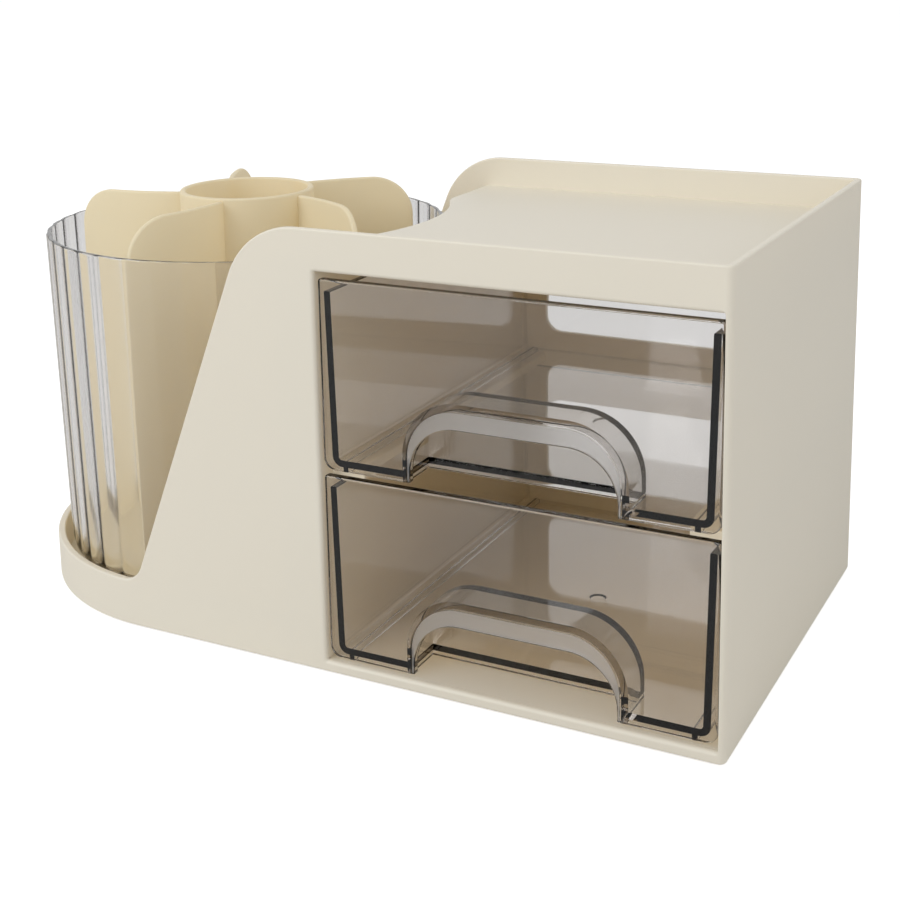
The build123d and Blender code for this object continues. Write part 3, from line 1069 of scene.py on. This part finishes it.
@dataclass
class Drawer:
    """One smoked drawer: front, tub and finger recess in one moulding."""

    layout: Layout
    node: str
    width: float = 115.4 * MM
    height: float = 55.0 * MM
    setback: float = 1.5 * MM
    front: float = 2.5 * MM
    lower_round: float = 3.5 * MM
    upper_round: float = 0.8 * MM
    inset: float = 1.2 * MM
    draft: float = 1.15 * MM
    lift: float = 1.0 * MM
    wall: float = 2.0 * MM
    tub_height: float = 51.4 * MM
    tub_round: float = 3.0 * MM
    back_gap: float = 0.5 * MM
    recess: Point = (62.0 * MM, 22.0 * MM)
    recess_round: float = 15.0 * MM
    recess_depth: float = 13.0 * MM
    mouth: Point = (60.4 * MM, 16.8 * MM)
    mouth_round: float = 14.0 * MM
    step: float = 0.5 * MM
    runner_inset: float = 6.5 * MM
    runner: Point = (1.6 * MM, 0.8 * MM)
    edge: float = 0.35 * MM
    face_edge: float = 0.7 * MM
    gate: Point = (2.7 * MM, 0.35 * MM)
    gate_y: float = -3.0 * MM
    gate_taper: float = 0.8
    gate_lift: float = 0.01 * MM

    def tub(self, middle: float, base: float, skin: float, top: float) -> Outline:
        """Section of the tub, moved inwards.

        Args:
            middle: its middle on X.
            base: height of the front's lower edge.
            skin: how far inwards.
            top: height at which the section ends.

        Returns:
            The closed outline in (x, z).
        """
        half = self.width / 2 - self.inset
        foot = half - self.draft
        slope = self.draft / (self.tub_height - self.lift)
        low = base + self.lift + skin
        upper = half + (top - base - self.tub_height) * slope
        corners = [(middle - foot + skin, low), (middle + foot - skin, low)]
        corners += [(middle + upper - skin, top), (middle - upper + skin, top)]
        radius = self.tub_round - skin
        return rounded(corners, [radius, radius, 0, 0])

    def arch(
        self, foot: Point, size: Point, radius: float, below: float
    ) -> Outline:
        """Arched outline of the finger recess.

        Args:
            foot: middle of its foot, in (x, z).
            size: its width and its height above the foot.
            radius: radius of its upper corners.
            below: how far it runs on below its foot.

        Returns:
            The closed outline in (x, z).
        """
        low = (foot[0] - size[0] / 2, foot[1] - below)
        high = (foot[0] + size[0] / 2, foot[1] + size[1])
        return rounded(rectangle(low, high), [0, 0, radius, radius], 14)

    def gate_mark(self, middle: float, base: float) -> Mesh:
        """Shallow round mark that the mould leaves in the tub's floor."""
        radius, depth = self.gate
        profile = [(0, 0), (radius, 0), (radius * self.gate_taper, -depth), (0, -depth)]
        mark = turned(profile, middle, 32)
        height = base + self.lift + self.wall + self.gate_lift
        bmesh.ops.translate(mark, vec=(0, self.gate_y, height), verts=mark.verts)
        return mark

    def build(self) -> Piece:
        """Make the drawer.

        Returns:
            The drawer as one closed mesh.
        """
        place = self.layout
        low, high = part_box(self.node)
        middle = (low[0] + high[0]) / 2
        base = high[2] - self.height
        face = place.front + self.setback
        back = place.panel - self.back_gap
        front_back = face + self.front
        tub = self.tub(middle, base, 0, base + self.tub_height)
        piece = put(prism(tub, face + self.front / 2, back, Direction.BACK), self.node + "_body")
        room = self.tub(middle, base, self.wall, base + self.height + self.wall)
        reshape(piece, Cut.REMOVE, room, front_back, back - self.wall, Direction.BACK)
        half = self.width / 2
        plate = rounded(
            rectangle((middle - half, base), (middle + half, base + self.height)),
            [self.lower_round, self.lower_round, self.upper_round, self.upper_round],
        )
        panel = prism(plate, face, front_back, Direction.BACK)
        near = face + self.edge
        rim = [edge for edge in panel.edges if all(vert.co.y < near for vert in edge.verts)]
        bevel(panel, rim, self.face_edge)
        combine(piece, panel, Cut.JOIN)
        behind = face + self.recess_depth
        size = (self.recess[0] + 2 * self.wall, self.recess[1] + self.wall)
        hood = self.arch((middle, base), size, self.recess_round + self.wall, 0)
        hollow = self.arch((middle, base), self.recess, self.recess_round, self.wall)
        mouth = self.arch((middle, base), self.mouth, self.mouth_round, self.wall)
        for cut, outline, start, end in (
            (Cut.JOIN, hood, front_back - self.front / 2, behind + self.wall),
            (Cut.REMOVE, hollow, front_back, behind),
            (Cut.REMOVE, mouth, face - self.wall, front_back + self.edge),
            (Cut.REMOVE, hollow, face - self.wall, face + self.step),
        ):
            reshape(piece, cut, outline, start, end, Direction.BACK)
        thick, drop = self.runner
        for sign in (-1, 1):
            centre = middle + sign * (half - self.runner_inset)
            top = base + self.lift + self.wall / 2
            strip = rectangle((centre - thick / 2, base - drop), (centre + thick / 2, top))
            reshape(piece, Cut.JOIN, strip, front_back, back, Direction.BACK)
        combine(piece, self.gate_mark(middle, base), Cut.REMOVE)
        soften(piece, self.edge, 30)
        frosted = piece.data.attributes.new("frosted", "FLOAT", "FACE")
        for polygon, mark in zip(piece.data.polygons, frosted.data):
            depths = [piece.data.vertices[index].co.y for index in polygon.vertices]
            mark.value = float(max(abs(depth - face - self.step) for depth in depths) < LEVEL)
        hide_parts(self.node)
        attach(piece, self.node)
        return piece


@dataclass
class Underworks:
    """The CAD pieces that keep their meshes: base plate, feet, screws and the turntable."""

    finishes: dict[str, Material]

    def dress(self) -> None:
        """Give each carried piece its finish."""
        table = {
            "base_plate": ("cream", "cream_base"),
            "turntable_disc": ("cream", "cream_disc"),
            "ball_cage": ("cage", "white_cage"),
            "bearing_balls": ("balls", "steel_balls"),
            "pivot_washer": ("steel", "steel_washer"),
            "pivot_screw": ("steel", "steel_pivot"),
            "base_screws": ("steel", "steel_screws"),
        }
        for side in ("right", "middle", "left"):
            for end in ("front", "back"):
                table[f"foot_{side}_{end}"] = ("rubber", "rubber_feet")
        for node, (finish, slot) in table.items():
            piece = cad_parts[node]
            piece.data.polygons.foreach_set("use_smooth", [True] * len(piece.data.polygons))
            piece.data.set_sharp_from_angle(angle=math.radians(35))
            dress(piece, self.finishes[finish])


# Studio


@dataclass(frozen=True)
class Lamp:
    """One soft rectangular lamp, in metres and watts."""

    name: str
    place: tuple[float, float, float]
    side: float
    power: float

    def hang(self, aim: Vector) -> None:
        """Hang the lamp so that it faces a point."""
        light = bpy.data.lights.new(self.name, "AREA")
        light.shape = "RECTANGLE"
        light.size, light.size_y = self.side, self.side
        light.energy = self.power
        light.color = (1, 1, 1)
        holder = bpy.data.objects.new(self.name, light)
        place = Vector(self.place)
        holder.location = place
        holder.rotation_euler = (aim - place).to_track_quat("-Z", "Y").to_euler()
        bpy.context.scene.collection.objects.link(holder)


@dataclass
class Studio:
    """Pale floor, soft lights, white surroundings and the camera."""

    focal: float = 61.1
    shift: Point = (0.0, -0.2407)
    eye: tuple[float, float, float] = (0.2304, -0.4111, 0.2115)
    yaw: float = 27.52
    pitch: float = 11.48
    roll: float = -1.06
    sensor: float = 36.0
    clip: Point = (0.01, 20)
    aim: tuple[float, float, float] = (0, 0, 0.06)
    floor_size: float = 30.0
    floor_colour: Colour = (0.82, 0.82, 0.82)
    lift: float = 0.68
    lift_through: float = 0.20
    room: float = 0.41
    room_through: float = 0.56
    diffuse_bounces: int = 8
    transparent_bounces: int = 16

    def floor(self) -> None:
        """Lay the floor, which shows white and keeps the object's shadow."""
        mesh = bmesh.new()
        bmesh.ops.create_grid(mesh, x_segments=1, y_segments=1, size=self.floor_size / 2)
        ground = put(mesh, "studio_floor")
        made, nodes = material("studio_floor")
        matt = nodes.add("ShaderNodeBsdfDiffuse", {"Color": (*self.floor_colour, 1)})
        path = nodes.add("ShaderNodeLightPath").outputs
        looked = nodes.span(path["Is Camera Ray"], 0.0, self.lift)
        through = nodes.span(path["Is Transmission Ray"], 0.0, self.lift_through)
        seen = nodes.add("ShaderNodeMath", {0: looked, 1: through}, operation="ADD")
        lift = nodes.add("ShaderNodeEmission", {"Strength": seen.outputs["Value"]})
        both = {0: matt.outputs["BSDF"], 1: lift.outputs["Emission"]}
        surface = nodes.add("ShaderNodeAddShader", both).outputs["Shader"]
        nodes.add("ShaderNodeOutputMaterial", {"Surface": surface})
        ground.data.materials.append(made)

    def lights(self) -> None:
        """Hang the key, the top and the side light."""
        for lamp in (
            Lamp("key", (-0.7, -1.1, 0.9), 0.9, 9.4),
            Lamp("top", (0.0, 0.1, 1.4), 1.2, 1.9),
            Lamp("side", (1.3, -0.3, 0.6), 0.8, 3.2),
        ):
            lamp.hang(Vector(self.aim))

    def surroundings(self) -> None:
        """Fill the room with soft white, at full strength only where it is looked at."""
        world = bpy.data.worlds.new("studio")
        bpy.context.scene.world = world
        nodes = Nodes(world)
        path = nodes.add("ShaderNodeLightPath").outputs
        level: float | Socket = self.room
        for ray, strength in (
            ("Is Transmission Ray", self.room_through),
            ("Is Glossy Ray", 1.0),
            ("Is Camera Ray", 1.0),
        ):
            level = nodes.span(path[ray], level, strength)
        plain = nodes.add("ShaderNodeBackground", {"Color": (1, 1, 1, 1), "Strength": level})
        nodes.add("ShaderNodeOutputWorld", {"Surface": plain.outputs["Background"]})

    def camera(self) -> None:
        """Stand the camera where the photograph was taken."""
        data = bpy.data.cameras.new("camera")
        data.lens = self.focal
        data.sensor_width = self.sensor
        data.shift_x, data.shift_y = self.shift
        data.clip_start, data.clip_end = self.clip
        holder = bpy.data.objects.new("camera", data)
        holder.location = self.eye
        yaw, pitch, roll = (math.radians(angle) for angle in (self.yaw, self.pitch, self.roll))
        flat = math.cos(pitch)
        forward = Vector((-math.sin(yaw) * flat, math.cos(yaw) * flat, -math.sin(pitch)))
        level = Vector((math.cos(yaw), math.sin(yaw), 0))
        up = level.cross(forward)
        right = level * math.cos(roll) + up * math.sin(roll)
        above = right.cross(forward)
        holder.rotation_euler = Matrix((right, above, -forward)).transposed().to_euler()
        bpy.context.scene.collection.objects.link(holder)
        bpy.context.scene.camera = holder

    def build(self) -> None:
        """Set up the whole studio."""
        cycles = bpy.context.scene.cycles
        cycles.diffuse_bounces = self.diffuse_bounces
        cycles.transparent_max_bounces = self.transparent_bounces
        self.floor()
        self.lights()
        self.surroundings()
        self.camera()
        bpy.context.scene.view_settings.view_transform = "Standard"


def main() -> None:
    """Build the organizer piece by piece and light it."""
    logging.basicConfig(level=logging.INFO, format="%(message)s")
    layout = Layout()
    finishes = {name: finish.build() for name, finish in FINISHES.items()}
    dress(Housing(layout).build(), finishes["cream"])
    dress(Cup(layout).build(), finishes["clear"])
    dress(Divider(layout).build(), finishes["cream_divider"])
    for node in ("lower_drawer", "upper_drawer"):
        dress(Drawer(layout, node).build(), finishes["smoked"])
    Underworks(finishes).dress()
    Studio().build()


if __name__ == "__main__":
    main()
